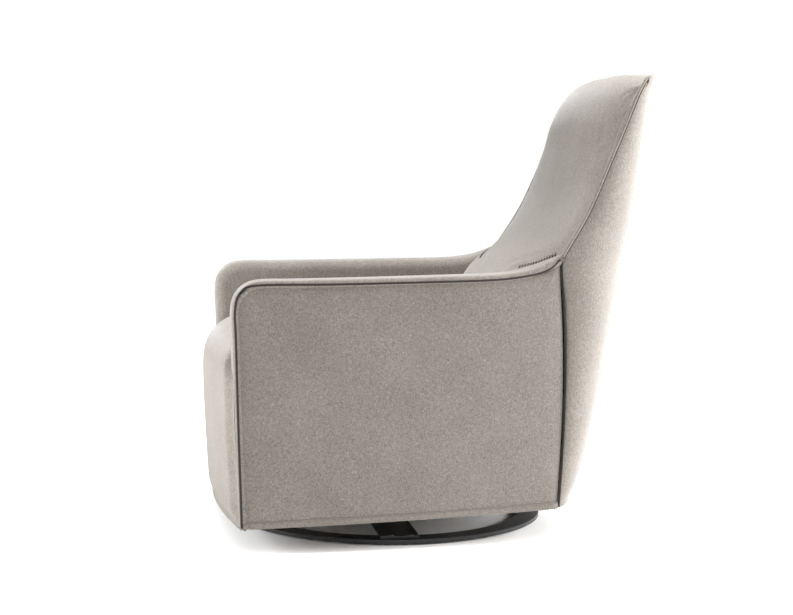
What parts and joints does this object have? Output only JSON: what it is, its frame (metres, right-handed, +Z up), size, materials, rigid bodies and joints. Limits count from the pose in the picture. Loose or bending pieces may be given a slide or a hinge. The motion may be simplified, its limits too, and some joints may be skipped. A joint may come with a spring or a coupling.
{
  "type": "swivel glider chair",
  "caption": "High-back upholstered swivel glider armchair with square arms, a waterfall seat front, a wrap-round outside back and a flat ring base.",
  "frame": {"origin": "on the floor, under the middle of the chair's bounding box", "axes": "+Z up; the chair faces -Y; X runs from side to side, +X at the chair's left arm as the sitter has it"},
  "size_m": [0.77, 0.9559, 0.968],
  "materials": {
    "upholstery": "short-pile warm grey velvet weave",
    "black_base": "satin black powder coat",
    "felt_glide": "pressed felt",
    "mechanism_paint": "semi-gloss black paint",
    "zinc_steel": "zinc plated",
    "nylon": "moulded nylon",
    "frame_wood": "planed hardwood and plywood",
    "dust_cloth": "black nonwoven"
  },
  "bodies": {
    "base": {"floor_glides": "felt_glide", "base_ring": "black_base", "base_strap_lateral": "black_base", "base_strap_fore_aft": "black_base", "strap_rivets": "black_base", "swivel_lower_plate": "mechanism_paint", "bearing_lower_race": "zinc_steel", "bearing_balls": "zinc_steel", "pivot_bolt": "zinc_steel", "pivot_nut": "zinc_steel"},
    "swivel": {"bearing_upper_race": "zinc_steel", "swivel_upper_plate": "mechanism_paint", "thrust_washer": "nylon", "cross_member_front": "mechanism_paint", "cross_member_rear": "mechanism_paint", "mechanism_side_left": "mechanism_paint", "mechanism_side_right": "mechanism_paint", "upper_pivot_pins": "zinc_steel"},
    "front_links": {"front_link_left": "mechanism_paint", "front_link_right": "mechanism_paint", "front_link_bushes": "nylon"},
    "rear_links": {"rear_link_left": "mechanism_paint", "rear_link_right": "mechanism_paint", "rear_link_bushes": "nylon"},
    "chair": {"lower_pivot_pins": "zinc_steel", "glide_rail_left": "mechanism_paint", "glide_rail_right": "mechanism_paint", "glide_rail_bolts": "zinc_steel", "mounting_rail_left": "frame_wood", "mounting_rail_right": "frame_wood", "base_front_rail": "frame_wood", "seat_front_rail": "frame_wood", "base_rear_rail": "frame_wood", "seat_rear_rail": "frame_wood", "corner_blocks": "frame_wood", "side_panel_left": "frame_wood", "side_panel_right": "frame_wood", "arm_front_post_left": "frame_wood", "arm_front_post_right": "frame_wood", "arm_top_rail_left": "frame_wood", "arm_top_rail_right": "frame_wood", "back_post_left": "frame_wood", "back_post_right": "frame_wood", "back_top_rail": "frame_wood", "back_lumbar_rail": "frame_wood", "seat_springs": "zinc_steel", "back_springs": "zinc_steel", "spring_clips": "zinc_steel", "seat_cushion": "upholstery", "front_panel": "upholstery", "inside_back": "upholstery", "outside_back": "upholstery", "outer_side_left": "upholstery", "outer_side_right": "upholstery", "arm_cover_left": "upholstery", "arm_cover_right": "upholstery", "dust_cover_front": "dust_cloth", "dust_cover_rear": "dust_cloth"}
  },
  "joints": [
    {"name": "swivel_turn", "type": "hinge", "parent": "base", "child": "swivel", "pos_m": [0, -0.1, 0.034], "axis": [0, 0, 1], "continuous": true},
    {"name": "glide_swing", "type": "hinge", "parent": "swivel", "child": "front_links", "pos_m": [0, -0.25, 0.2], "axis": [1, 0, 0], "range_deg": [-24, 24]},
    {"name": "rear_link_swing", "type": "hinge", "parent": "swivel", "child": "rear_links", "pos_m": [0, 0.05, 0.2], "axis": [1, 0, 0], "range_deg": [-24, 24]},
    {"name": "chair_level", "type": "hinge", "parent": "front_links", "child": "chair", "pos_m": [0, -0.25, 0.08], "axis": [1, 0, 0], "range_deg": [-24, 24]}
  ],
  "couplings": [
    {"joint": "rear_link_swing", "follows": "glide_swing", "ratio": 1},
    {"joint": "chair_level", "follows": "glide_swing", "ratio": -1}
  ]
}
